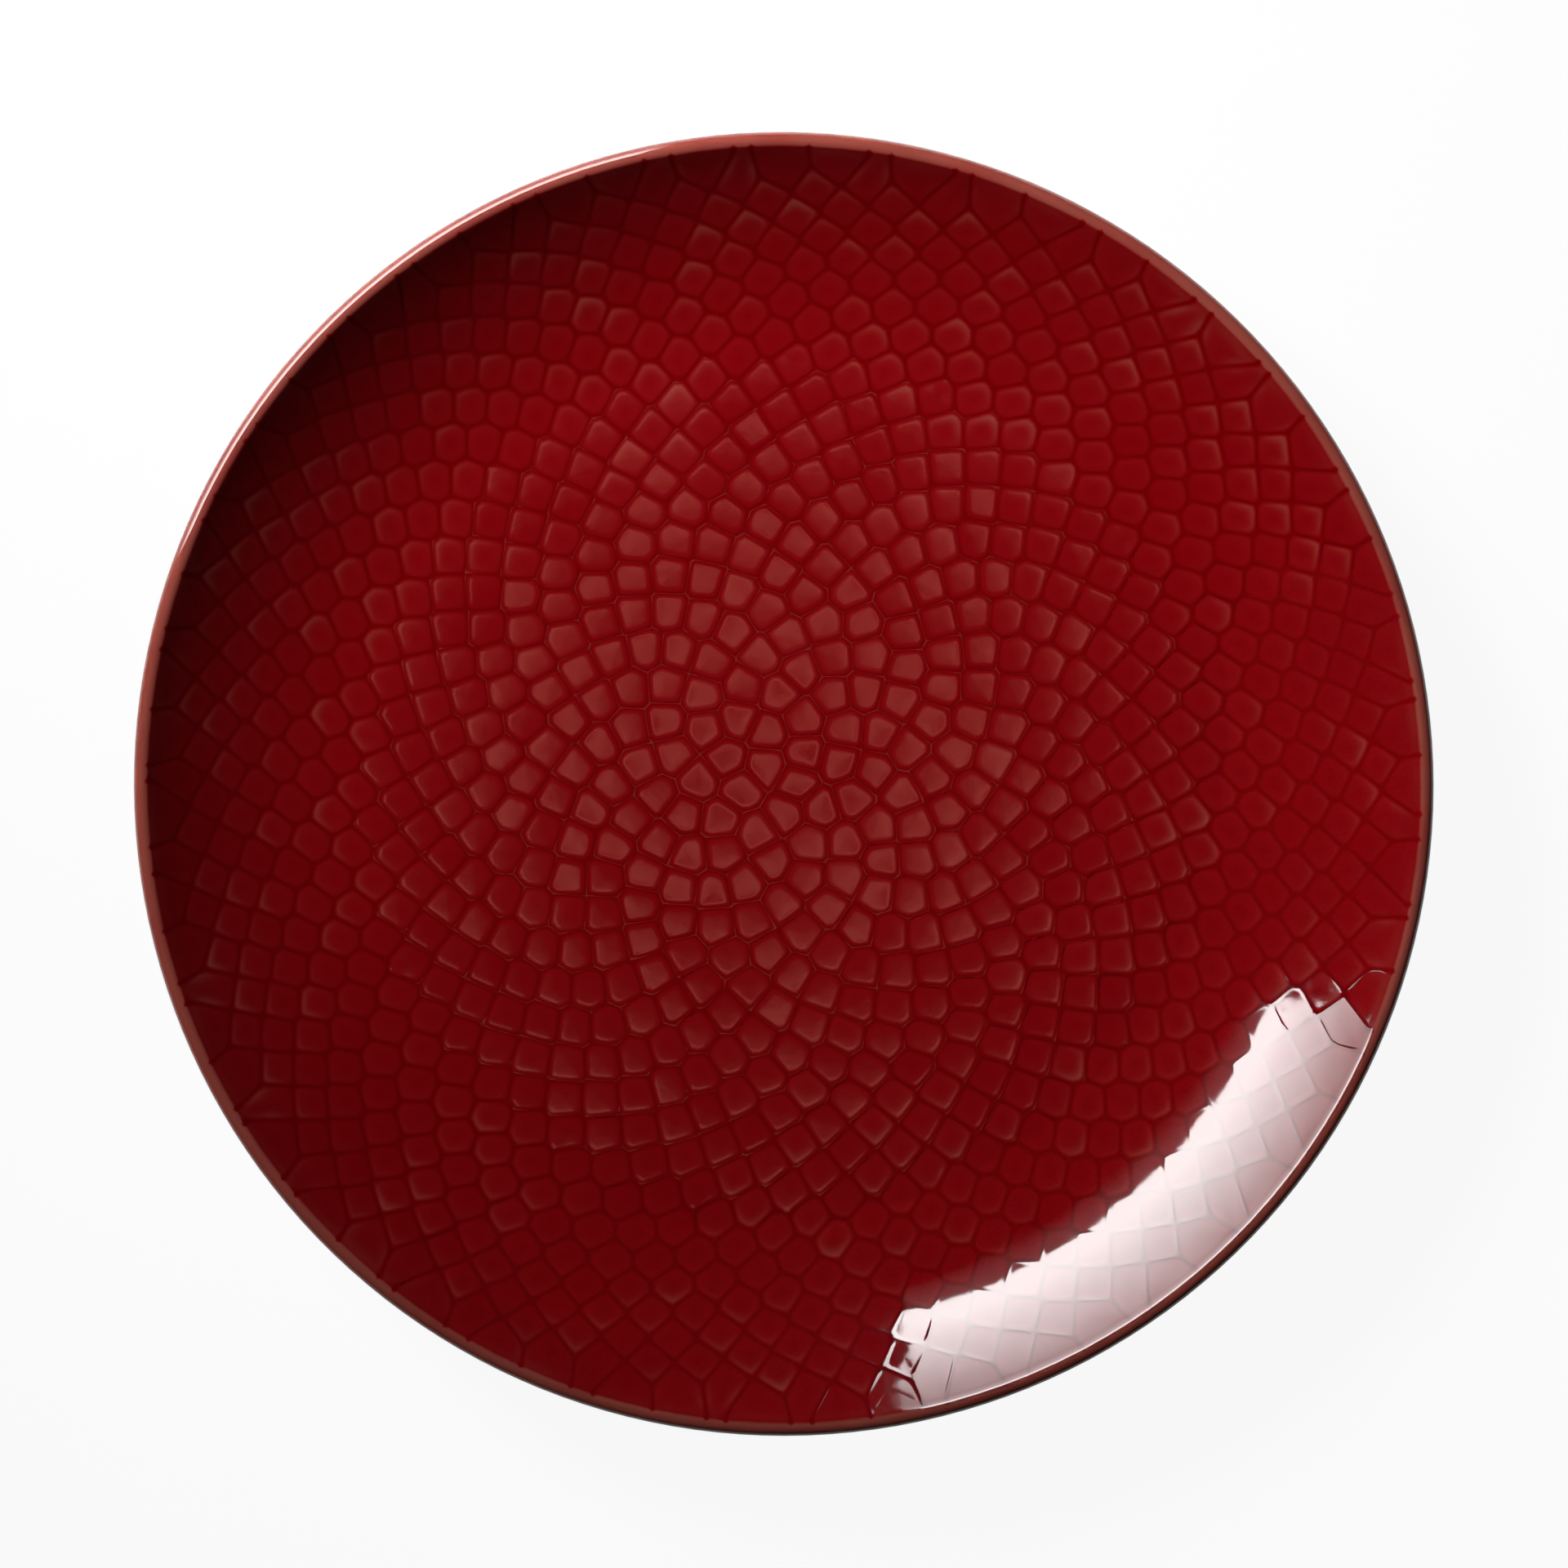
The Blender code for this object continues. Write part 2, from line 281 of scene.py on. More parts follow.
def back_arcs():
    """The lip in two arcs that meet at its top, and the back down to the straight underside."""
    slope = toward(UNDERSIDE_SLOPE)
    upright = Vector((-slope.y, slope.x))
    turn_point = Vector((FOOT_RADIUS, FOOT_HEIGHT)) + (FOOT_INSET - BACK_TURN) / slope.x * slope
    reach = LIP_CENTRE - turn_point
    radius = (reach.length_squared - CLAY_LIP**2) / (2 * (reach.dot(upright) - CLAY_LIP))
    centre = turn_point + radius * upright
    lip_end = angle_of(LIP_CENTRE - centre)
    inner_lip = Arc(LIP_CENTRE, CLAY_LIP, WALL.last + math.pi, -DOWN, 1)
    outer_lip = Arc(LIP_CENTRE, CLAY_LIP, -DOWN, lip_end, 1)
    return inner_lip, outer_lip, Arc(centre, radius, lip_end, angle_of(-upright), 1)


INNER_LIP, OUTER_LIP, BACK = back_arcs()


def from_face_to_back(steps):
    """The section from beside the middle of the face, over the lip, to the end of the back."""
    section = []
    for arc, count in zip((DISH, WALL, INNER_LIP, OUTER_LIP, BACK), steps):
        section += arc.section(count)[1:]
    return section


def foot_sections():
    """The rounded corners of the foot ring, from the back in to the base."""
    lean = FOOT_HEIGHT * math.tan(FOOT_DRAFT)
    corners = (
        BACK.at(1)[0],
        Vector((FOOT_RADIUS, FOOT_HEIGHT)),
        Vector((FOOT_RADIUS - lean, 0)),
        Vector((FOOT_RADIUS - FOOT_WIDTH + lean, 0)),
        Vector((FOOT_RADIUS - FOOT_WIDTH, FOOT_HEIGHT)),
        Vector((0, FOOT_HEIGHT)),
    )
    radii = (FOOT_FILLET, FOOT_EDGE, FOOT_EDGE, FOOT_FILLET)
    return [rounded(*corners[i : i + 3], radius).section(FOOT_STEPS) for i, radius in enumerate(radii)]


OUTER_ROOT, OUTER_EDGE, INNER_EDGE, INNER_ROOT = foot_sections()


def on_flank(pair, height):
    """The point at a height on the straight side of the foot ring that a pair lies on."""
    point, normal = pair
    along = Vector((-normal.y, normal.x))
    return point + along * (height - point.y) / along.y, normal


def on_face(along):
    """The point and normal of the face at a distance along it from its middle."""
    if along < DISH.length:
        return DISH.at(along / DISH.length)
    return WALL.at((along - DISH.length) / WALL.length)


class Surface:
    """A mesh in the making: how far each point is out of the grooves, and how thin its glaze is, partly
    painted sheen.
    """

    def __init__(self):
        self.points = []
        self.crown = []
        self.thin = []
        self.faces = []

    def add(self, point, crown=1.0, thin=0.0):
        self.points.append(point)
        self.crown.append(crown)
        self.thin.append(thin)
        return len(self.points) - 1

    def ring(self, place, thin=0.0):
        """A row of points round the axis. place is a point of the section, or gives it at an angle."""
        row = []
        for step in range(AROUND):
            angle = math.tau * step / AROUND
            at = place(angle) if callable(place) else place
            row.append(self.add((at.x * math.cos(angle), at.x * math.sin(angle), at.y), thin=thin))
        return row

    def strip(self, first, second):
        """Faces between two rows of as many points, seen from the side on which they run to the left."""
        for i in range(len(first)):
            j = (i + 1) % len(first)
            self.faces.append((first[i], second[i], second[j], first[j]))

    def rows(self, rows):
        for first, second in zip(rows, rows[1:]):
            self.strip(first, second)

    def fan(self, row, middle, upward):
        """Faces between a row and a point in its middle."""
        for i in range(len(row)):
            j = (i + 1) % len(row)
            self.faces.append((row[i], row[j], middle) if upward else (row[j], row[i], middle))

    def angle(self, vertex):
        """Where a point is round the axis, from 0 at +X to a full turn."""
        x, y, _ = self.points[vertex]
        return math.atan2(y, x) % math.tau

    def join_by_angle(self, inner, outer):
        """Faces between two closed rows of unlike counts."""
        inner = sorted(inner, key=self.angle)
        outer = sorted(outer, key=self.angle)
        inner_angles = [self.angle(i) for i in inner] + [self.angle(inner[0]) + math.tau]
        outer_angles = [self.angle(i) for i in outer] + [self.angle(outer[0]) + math.tau]
        a = 0
        b = 0
        while a < len(inner) or b < len(outer):
            here = inner[a % len(inner)]
            there = outer[b % len(outer)]
            if a < len(inner) and (b == len(outer) or inner_angles[a + 1] <= outer_angles[b + 1]):
                a += 1
                self.faces.append((here, there, inner[a % len(inner)]))
            else:
                b += 1
                self.faces.append((here, there, outer[b % len(outer)]))


# The relief is laid out flat, on a disc whose radius is the distance along the face from its middle.


def seeds_out_to(reach):
    """Points in the order of a sunflower's seeds, each a little off its place."""
    draw = random.Random(PLACE_DRAWS)
    spread = SEED_PITCH / math.sqrt(math.pi)
    seeds = []
    for n in range(math.ceil((reach / spread) ** 2)):
        off = Vector((draw.uniform(-1, 1), draw.uniform(-1, 1))) * SEED_JITTER
        seeds.append(spread * math.sqrt(n + 0.5) * toward(n * GOLDEN_ANGLE) + off)
    return seeds


def rise_at(along):
    """How far the seeds stand out at a distance along the face from its middle."""
    bare = between(SEED_RISE, WALL_RISE, smooth((along - DISH.length) / WALL.length))
    return bare * (1 - POOL_FILL * math.exp(-(((along - POOL_PLACE) / POOL_WIDTH) ** 2)))


def middle_of_circle(a, b, c):
    """The point as far from each of three points: a corner of the grooves between three seeds."""
    p = b - a
    q = c - a
    twice = 2 * (p.x * q.y - p.y * q.x)
    p2 = p.length_squared
    q2 = q.length_squared
    return a + Vector((q.y * p2 - p.y * q2, p.x * q2 - q.x * p2)) / twice


# The line of one side of a seed, as a direction out of the seed and a distance. It is a groove, or else
# the border.
Side = namedtuple("Side", ("out", "distance", "is_groove"))


class Relief:
    """The seeds of the face, laid onto a surface."""

    def __init__(self, surface):
        self.surface = surface
        self.reach = FACE_LENGTH - SEED_BORDER
        self.seeds = seeds_out_to(self.reach - LAST_SEEDS)
        outer = [seed for seed in self.seeds if seed.length > self.reach - MIRRORED_BAND]
        self.points = self.seeds + [seed * (2 * self.reach / seed.length - 1) for seed in outer]
        _, _, triangles, origins, _, _ = delaunay_2d_cdt(self.points, [], [], 0, 0)
        self.triangles = [tuple(origins[i][0] for i in triangle) for triangle in triangles]
        self.corners = [middle_of_circle(*(self.points[i] for i in t)) for t in self.triangles]
        self.same = self.merged_corners()
        self.corner_points = {}
        self.side_points = {}
        self.border = []
        self.draw = random.Random(SHAPE_DRAWS)
        self.break_and_sheen_draw = random.Random(BREAK_AND_SHEEN_DRAWS)

    def merged_corners(self):
        """For each corner of the grooves, the corner that stands for it, so that no side is very short."""
        same = list(range(len(self.corners)))
        at_side = {}
        for number, (a, b, c) in enumerate(self.triangles):
            for side in ((a, b), (b, c), (c, a)):
                other = at_side.setdefault(tuple(sorted(side)), number)
                if (self.corners[other] - self.corners[number]).length < SHORT_SIDE:
                    old, new = same[number], same[other]
                    same = [new if corner == old else corner for corner in same]
        return same

    def place(self, flat, rise):
        """Where a point of the flat disc lies on the plate."""
        along = flat.length
        point, normal = on_face(along)
        wave = FACE_WAVE * noise.noise(Vector((flat.x, flat.y, 0)) * FACE_WAVE_SCALE)
        at = point + (COAT + rise + wave) * normal
        return (at.x * flat.x / along, at.x * flat.y / along, at.y)

    def depth_into(self, seed, sides, flat):
        """How far a point lies inside the grooves round a seed, rounded where two grooves meet."""
        total = 0
        for side in sides:
            if side.is_groove:
                total += math.exp(-(side.distance - side.out.dot(flat - seed)) / CORNER_ROUND)
        return -CORNER_ROUND * math.log(max(total, LEAST_GROOVE))

    def thinness_and_sheen(self, seed, flat, top, broken_and_sheen):
        """How thin the glaze is on the shoulder or top of a seed. It has run down off the outer side.
        Partly painted sheen.
        """
        outward = clamp((flat.length - seed.length) / (SEED_PITCH / 2), -1, 1)
        run_and_sheen = GLAZE_RUN_AND_SHEEN * seed.length / FACE_LENGTH * clamp((self.reach - flat.length) / SEED_PITCH)
        edge_and_sheen = broken_and_sheen * EDGE_THIN_AND_SHEEN * (1 - (1 - TOP_THIN) * top) * (1 + run_and_sheen * outward)
        return between(edge_and_sheen, LIP_START_THIN, smooth((flat.length - self.reach) / LIP_FADE + 1))

    def add(self, seed, sides, flat, lean, height, broken_and_sheen=1.0):
        """A point of a seed's surface, at the height that its distance from the grooves gives."""
        depth = self.depth_into(seed, sides, flat)
        side = clamp(depth / GROOVE_SIDE)
        shoulder = side * (2 - side)
        top = smooth((depth - GROOVE_SIDE) / CROWN_RUN)
        full = rise_at(flat.length)
        rise = full * height * (SHOULDER_SHARE * shoulder + (1 - SHOULDER_SHARE) * top)
        rise += shoulder * lean.dot(flat - seed)
        border = smooth((flat.length - self.reach + SEED_BORDER) / SEED_BORDER)
        rise = between(rise, full * shoulder, border)
        # Lighter, browner glaze on the shoulders: partly real thinning, partly painted sheen.
        thin = shoulder * self.thinness_and_sheen(seed, flat, top, broken_and_sheen)
        return self.surface.add(self.place(flat, rise), smooth(side), thin)

    def steps_along(self, length, is_groove):
        """Shares of a side at which it gets points between its two corners."""
        if is_groove:
            count = max(1, round(length / EDGE_STEP))
            return [step / count for step in range(1, count)]
        near = [step / length for step in BORDER_STEPS if step < BORDER_STEP_SHARE * length]
        return near + [0.5] + [1 - share for share in reversed(near)]

    def outline(self, index, around):
        """The pairs of corners round a seed, in order, and its sides."""
        seed = self.seeds[index]
        loop = []
        sides = []
        for here, there in zip(around, around[1:] + around[:1]):
            shared = set(self.triangles[here]) & set(self.triangles[there]) - {index}
            neighbour = shared.pop()
            across = self.points[neighbour] - seed
            is_groove = neighbour < len(self.seeds)
            sides.append(Side(across.normalized(), across.length / 2, is_groove))
            if self.same[here] != self.same[there]:
                loop.append((self.same[here], self.same[there], is_groove))
        return loop, sides

    def shared_points(self, seed, sides, loop):
        """Points round a seed and their vertices. It takes over those that a neighbour has made."""
        level = Vector((0, 0))
        ring = []
        for here, there, is_groove in loop:
            if here not in self.corner_points:
                self.corner_points[here] = self.add(seed, sides, self.corners[here], level, 1)
            key = tuple(sorted((here, there)))
            if key not in self.side_points:
                first, last = self.corners[key[0]], self.corners[key[1]]
                shares = self.steps_along((last - first).length, is_groove)
                flats = [between(first, last, share) for share in shares]
                vertices = [self.add(seed, sides, flat, level, 1) for flat in flats]
                self.side_points[key] = list(zip(flats, vertices))
            steps = self.side_points[key]
            if key[0] != here:
                steps = steps[::-1]
            ring.append((self.corners[here], self.corner_points[here]))
            ring.extend(steps)
            if not is_groove:
                self.border.extend([self.corner_points[here]] + [vertex for _, vertex in steps])
        return ring

    def build_seed(self, index, around):
        """Adds a seed: the points that it shares with its neighbours, rings inside them and a middle."""
        seed = self.seeds[index]
        loop, sides = self.outline(index, around)
        outline = self.shared_points(seed, sides, loop)
        lean = Vector((self.draw.gauss(0, SEED_TILT), self.draw.gauss(0, SEED_TILT)))
        height = 1 + self.draw.gauss(0, SEED_UNEVEN)
        # Each seed's own share of thin glaze and painted sheen on its shoulders.
        broken_and_sheen = self.break_and_sheen_draw.uniform(*SEED_BREAK_AND_SHEEN)
        half_width = min(side.distance for side in sides)
        previous = [vertex for _, vertex in outline]
        spokes = [flat - seed for flat, _ in outline]
        for inset, most in zip(RINGS, RING_SHARES):
            inset = min(inset, half_width * most)
            row = []
            for spoke in spokes:
                way = spoke.normalized()
                total = 0
                for side in sides:
                    room = side.distance - (inset if side.is_groove else BORDER_INSET * inset)
                    total += max(0, side.out.dot(way) / room) ** RING_ROUND
                reach = min(total ** (-1 / RING_ROUND), spoke.length - RING_GAP * inset)
                row.append(self.add(seed, sides, seed + way * reach, lean, height, broken_and_sheen))
            self.surface.strip(row, previous)
            previous = row
        middle = self.add(seed, sides, seed, lean, height, broken_and_sheen)
        self.surface.fan(previous, middle, True)

    def build(self):
        """Adds all the seeds. Returns the vertices on the border, in their order round the axis."""
        at_seed = [[] for _ in self.seeds]
        for number, triangle in enumerate(self.triangles):
            for index in triangle:
                if index < len(self.seeds):
                    at_seed[index].append(number)
        for index, numbers in enumerate(at_seed):
            seed = self.seeds[index]
            around = sorted(numbers, key=lambda n: angle_of(self.corners[n] - seed))
            self.build_seed(index, around)
        return sorted(set(self.border), key=self.surface.angle)


# The rows of points that close the glaze round the lip, the back and the foot ring


def section_rows(surface, section, out):
    return [surface.ring(point + out * normal) for point, normal in section]


def inner_lip_points():
    """The outside of the glaze over the inner side of the lip, where it sinks to its plain coat."""
    points = []
    for step, (point, normal) in enumerate(INNER_LIP.section(INNER_LIP_STEPS)):
        rise = WALL_RISE * (1 - step / INNER_LIP_STEPS) ** 2
        points.append(point + (COAT + rise) * normal)
    return points


def lip_edge(surface, border):
    """The inner edge of the lip, which the last grooves run out into. Returns the row that ends it."""
    last = border
    for step, (at, run_out) in enumerate(zip(inner_lip_points(), GROOVE_END)):
        row = []
        for vertex in border:
            x, y, _ = surface.points[vertex]
            way = Vector((x, y)).normalized()
            crown = clamp(surface.crown[vertex] + run_out)
            thin = clamp(LIP_START_THIN + LIP_THIN_STEP * step) * crown
            row.append(surface.add((at.x * way.x, at.x * way.y, at.y), crown, thin))
        surface.strip(last, row)
        last = row
    return last


def lip_rows(surface):
    """The lip past its inner edge, with the glaze thin all over it."""
    rows = [surface.ring(at, 1.0) for at in inner_lip_points()[len(GROOVE_END) :]]
    for point, normal in OUTER_LIP.section(OUTER_LIP_STEPS)[1:]:
        rows.append(surface.ring(point + COAT * normal, 1.0))
    return rows


def back_rows(surface):
    """The back, where the glaze thickens away from the lip."""
    rows = []
    for step, (point, normal) in enumerate(BACK.section(BACK_STEPS)[1:], start=1):
        thin = BACK_THIN * (1 - smooth(step / BACK_THIN_STEPS))
        rows.append(surface.ring(point + COAT * normal, thin))
    return rows


def glaze_line(angle):
    """Height of the wiped edge of the glaze on the foot ring."""
    wave = 0
    for share, fineness, shift in GLAZE_LINE_NOISE:
        wave += share * noise.noise(Vector((math.cos(angle), math.sin(angle), shift)) * fineness)
    return GLAZE_LINE + GLAZE_LINE_WAVE * wave


def bead_point(flank, down, angle):
    """A point of the rounded edge of the glaze on the foot ring, a share of the way down to its tip."""
    point, normal = on_flank(flank, glaze_line(angle) + GLAZE_BEAD * (1 - down))
    return point + between(GLAZE_TIP, COAT, math.sqrt(1 - down * down)) * normal


def bead_rows(surface, flank):
    """The rounded edge of the glaze on the side of the foot ring, down to the wiped line."""
    rows = []
    for step in range(BEAD_STEPS + 1):
        down = step / BEAD_STEPS
        rows.append(surface.ring(partial(bead_point, flank, down), between(*BEAD_THIN, down)))
    return rows


# The pieces


def waves(angle, parts):
    return sum(share * math.sin(number * angle + phase) for share, number, phase in parts)


def wobbled(point):
    """A point moved by the small unevenness of the rim, which fades towards the middle."""
    x, y, z = point
    angle = math.atan2(y, x)
    wobble = RIM_WOBBLE * (math.hypot(x, y) / PLATE_RADIUS) ** RIM_FADE
    out = toward(angle) * wobble * waves(angle, RIM_OUT)
    return (x + out.x, y + out.y, z + wobble * waves(angle, RIM_UP))


def finish_piece(name, surface, material, node):
    """Makes an object of a surface. It rides on the plate and takes the place of a CAD node."""
    mesh = bpy.data.meshes.new(name)
    mesh.from_pydata([wobbled(point) for point in surface.points], [], surface.faces)
    for attribute in ("crown", "thin"):
        values = mesh.attributes.new(attribute, "FLOAT", "POINT").data
        values.foreach_set("value", getattr(surface, attribute))
    mesh.materials.append(material)
    mesh.shade_smooth()
    mesh.set_sharp_from_angle(angle=SHARP_ANGLE)
    piece = bpy.data.objects.new(name, mesh)
    bpy.context.scene.collection.objects.link(piece)
    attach(piece, "root")
    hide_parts(node)


def build_glaze(material):
    """The glaze of the face, lip and back, closed by a hidden inside that follows the clay."""
    surface = Surface()
    border = Relief(surface).build()
    outside = lip_rows(surface) + back_rows(surface) + section_rows(surface, OUTER_ROOT[:-1], COAT)
    outside += bead_rows(surface, OUTER_ROOT[-1])
    surface.join_by_angle(lip_edge(surface, border), outside[0])
    hidden = from_face_to_back(HIDDEN_STEPS) + OUTER_ROOT[::2]
    inside = section_rows(surface, hidden[::-1], UNDER_COAT)
    surface.rows(outside + inside)
    surface.fan(inside[-1], surface.add((0, 0, FACE_MIDDLE + UNDER_COAT)), False)
    finish_piece("front_and_back_glaze", surface, material, "glaze_coat")


def build_base_glaze(material):
    """The glaze of the base inside the foot ring."""
    surface = Surface()
    base_radius = INNER_ROOT[-1][0].x
    flat = [(Vector((base_radius * share, FOOT_HEIGHT)), Vector((0, -1))) for share in BASE_SHARES]
    outside = bead_rows(surface, INNER_ROOT[0])[::-1]
    outside += section_rows(surface, INNER_ROOT[1:] + flat, COAT)
    inside = section_rows(surface, (INNER_ROOT[::2] + flat[::2])[::-1], UNDER_COAT)
    surface.rows(inside + outside)
    surface.fan(inside[0], surface.add((0, 0, FOOT_HEIGHT - UNDER_COAT)), True)
    surface.fan(outside[-1], surface.add((0, 0, FOOT_HEIGHT - COAT)), False)
    finish_piece("base_coat", surface, material, "base_glaze")


def build_clay(material):
    """The fired clay, which shows on the foot ring."""
    surface = Surface()
    foot = OUTER_ROOT + OUTER_EDGE + INNER_EDGE + INNER_ROOT
    rows = section_rows(surface, from_face_to_back(CLAY_STEPS) + foot, 0)
    surface.rows(rows)
    surface.fan(rows[0], surface.add((0, 0, FACE_MIDDLE)), True)
    surface.fan(rows[-1], surface.add((0, 0, FOOT_HEIGHT)), False)
    finish_piece("bare_clay", surface, material, "clay_body")


# Materials


class Nodes:
    """The node tree of a material, light or world, with short ways to add and join nodes."""

    def __init__(self, owner):
        owner.use_nodes = True
        self.tree = owner.node_tree

    def named(self, name):
        return self.tree.nodes[name]

    def put(self, socket, value):
        """Joins a socket to an output, or sets its value."""
        if isinstance(value, bpy.types.NodeSocket):
            self.tree.links.new(value, socket)
        else:
            socket.default_value = value

    def fill(self, node, **inputs):
        """Joins or sets inputs of a node, by their names with an underscore for a space."""
        for key, value in inputs.items():
            self.put(node.inputs[key.replace("_", " ")], value)
        return node

    def add(self, kind, settings=None, **inputs):
        made = self.tree.nodes.new(kind)
        for key, value in (settings or {}).items():
            setattr(made, key, value)
        return self.fill(made, **inputs)

    def calculate(self, kind, operation, values):
        made = self.add(kind, {"operation": operation})
        for socket, value in zip(made.inputs, values):
            self.put(socket, value)
        return made.outputs

    def math(self, operation, *values):
        return self.calculate("ShaderNodeMath", operation, values)["Value"]

    def vector(self, operation, *values):
        return self.calculate("ShaderNodeVectorMath", operation, values)["Vector"]

    def measure(self, operation, *values):
        return self.calculate("ShaderNodeVectorMath", operation, values)["Value"]

    def attribute(self, name):
        return self.add("ShaderNodeAttribute", {"attribute_name": name}).outputs["Fac"]

    def noise(self, scale, detail, roughness=0.5):
        place = self.add("ShaderNodeTexCoord").outputs["Object"]
        made = self.add("ShaderNodeTexNoise", Vector=place, Scale=scale, Detail=detail,
                        Roughness=roughness)
        return made.outputs["Fac"]

    def ramp(self, value, low, high, to_low=0.0, to_high=1.0):
        made = self.add("ShaderNodeMapRange", {"interpolation_type": "SMOOTHSTEP"}, Value=value,
                        From_Min=low, From_Max=high, To_Min=to_low, To_Max=to_high)
        return made.outputs["Result"]

    def levels(self, value, pairs):
        """A brightness that goes through pairs of a value and a level."""
        made = self.add("ShaderNodeValToRGB", Fac=value)
        stops = made.color_ramp.elements
        stops.remove(stops[1])
        stops[0].position = pairs[0][0]
        for position, _ in pairs[1:]:
            stops.new(position)
        for stop, (_, level) in zip(stops, pairs):
            stop.color = (level, level, level, 1)
        return made.outputs["Color"]

    def mix(self, share, first, second):
        """A colour between two. The node has other sockets before those for colours."""
        made = self.add("ShaderNodeMix", {"data_type": "RGBA"}, Factor=share)
        self.put(made.inputs[6], first)
        self.put(made.inputs[7], second)
        return made.outputs[2]

    def bump(self, height, distance, strength):
        made = self.add("ShaderNodeBump", Height=height, Distance=distance, Strength=strength)
        return made.outputs["Normal"]


def red_glaze():
    """Glossy oxblood glaze: dark where it pools in the grooves, brown where it runs thin off an edge, and
    painted sheen on the seeds' shoulders.
    """
    material = bpy.data.materials.new("oxblood_glaze")
    nodes = Nodes(material)
    cloud = nodes.noise(scale=38, detail=3, roughness=0.55)
    uneven = nodes.ramp(cloud, low=0.3, high=0.7, to_low=0.8, to_high=1.1)
    thin = nodes.math("MULTIPLY", nodes.attribute("thin"), uneven)
    red = nodes.mix(nodes.attribute("crown"), COLOURS["deep"], COLOURS["red"])
    # On the seeds' shoulders the thin colour is partly painted sheen; on the lip and back it is glaze run
    # thin.
    red = nodes.mix(nodes.ramp(thin, low=0.1, high=0.5), red, COLOURS["thin"])
    red = nodes.mix(nodes.ramp(thin, low=0.4, high=1.0), red, COLOURS["lip"])
    gloss = nodes.ramp(nodes.noise(scale=260, detail=3), low=0.3, high=0.7, to_low=0.03, to_high=0.065)
    ripple = nodes.bump(nodes.noise(scale=900, detail=2), distance=0.02 * MM, strength=0.12)
    nodes.fill(nodes.named("Principled BSDF"), Base_Color=red, Roughness=gloss, Normal=ripple, IOR=1.6,
               Coat_Weight=0.5, Coat_Roughness=0.03, Coat_IOR=1.55)
    return material


def bare_clay():
    """Dry fired stoneware with fine grain and a few dark specks."""
    material = bpy.data.materials.new("bare_stoneware")
    nodes = Nodes(material)
    cloud = nodes.noise(scale=120, detail=4, roughness=0.6)
    grain = nodes.noise(scale=2600, detail=3, roughness=0.65)
    specks = nodes.ramp(nodes.noise(scale=900, detail=1, roughness=0.4), low=0.70, high=0.76)
    body = nodes.mix(nodes.ramp(cloud, low=0.25, high=0.75), COLOURS["clay_dark"], COLOURS["clay"])
    body = nodes.mix(nodes.ramp(grain, low=0.35, high=0.8, to_high=0.5), body, COLOURS["clay_dark"])
    body = nodes.mix(specks, body, COLOURS["clay_speck"])
    rough = nodes.ramp(grain, low=0.2, high=0.8, to_low=0.7, to_high=0.9)
    pits = nodes.bump(grain, distance=0.1 * MM, strength=0.6)
    nodes.fill(nodes.named("Principled BSDF"), Base_Color=body, Roughness=rough, Normal=pits)
    return material


# Stage, light and camera


def white_floor():
    """A white floor that keeps a faint shadow of the plate."""
    bpy.ops.mesh.primitive_plane_add(size=FLOOR_SIZE, location=(0, 0, -FLOOR_DROP))
    floor = bpy.context.object
    floor.name = "floor"
    material = bpy.data.materials.new("white_floor")
    nodes = Nodes(material)
    matt = nodes.fill(nodes.named("Principled BSDF"), Base_Color=COLOURS["floor"], Roughness=0.9)
    plain = nodes.add("ShaderNodeEmission", Color=WHITE, Strength=1.0)
    path = nodes.add("ShaderNodeLightPath").outputs
    mirrored = nodes.math("MAXIMUM", path["Is Glossy Ray"], path["Is Transmission Ray"])
    mirrored = nodes.math("MULTIPLY", mirrored, FLOOR_MIRRORED)
    seen = nodes.math("MULTIPLY", path["Is Camera Ray"], FLOOR_WHITE)
    made = nodes.add("ShaderNodeMixShader", Fac=nodes.math("MAXIMUM", seen, mirrored))
    nodes.put(made.inputs[1], matt.outputs[0])
    nodes.put(made.inputs[2], plain.outputs[0])
    nodes.fill(nodes.named("Material Output"), Surface=made.outputs[0])
    floor.data.materials.append(material)


def white_world():
    """As white as the floor for the camera, and nearly dark all round for the light."""
    world = bpy.data.worlds.new("studio")
    bpy.context.scene.world = world
    nodes = Nodes(world)
    seen = nodes.add("ShaderNodeLightPath").outputs["Is Camera Ray"]
    strength = nodes.add("ShaderNodeMapRange", Value=seen, To_Min=WORLD_FILL, To_Max=FLOOR_WHITE)
    nodes.fill(nodes.named("Background"), Color=WHITE, Strength=strength.outputs["Result"])


def area_light(name, place, aim, size, radiance):
    """A rectangular light that faces a point, of a radiance that nodes may shade."""
    light = bpy.data.lights.new(name, "AREA")
    light.shape = "RECTANGLE"
    light.size, light.size_y = size
    light.energy = radiance * math.pi * size[0] * size[1]
    lamp = bpy.data.objects.new(name, light)
    lamp.location = place
    lamp.rotation_euler = (aim - place).to_track_quat("-Z", "Y").to_euler()
    bpy.context.scene.collection.objects.link(lamp)
    return lamp


def flag_shade(nodes):
    """How much of a light reaches the point that it lights: little on the floor of the plate."""
    on_light = nodes.add("ShaderNodeNewGeometry").outputs
    distance = nodes.add("ShaderNodeLightPath").outputs["Ray Length"]
    lit = nodes.vector("MULTIPLY_ADD", on_light["Incoming"], distance, on_light["Position"])
    radius = nodes.measure("LENGTH", nodes.vector("MULTIPLY", lit, (1, 1, 0)))
    return nodes.ramp(radius, *FLAG_EDGE, to_low=FLAG_LEAK)


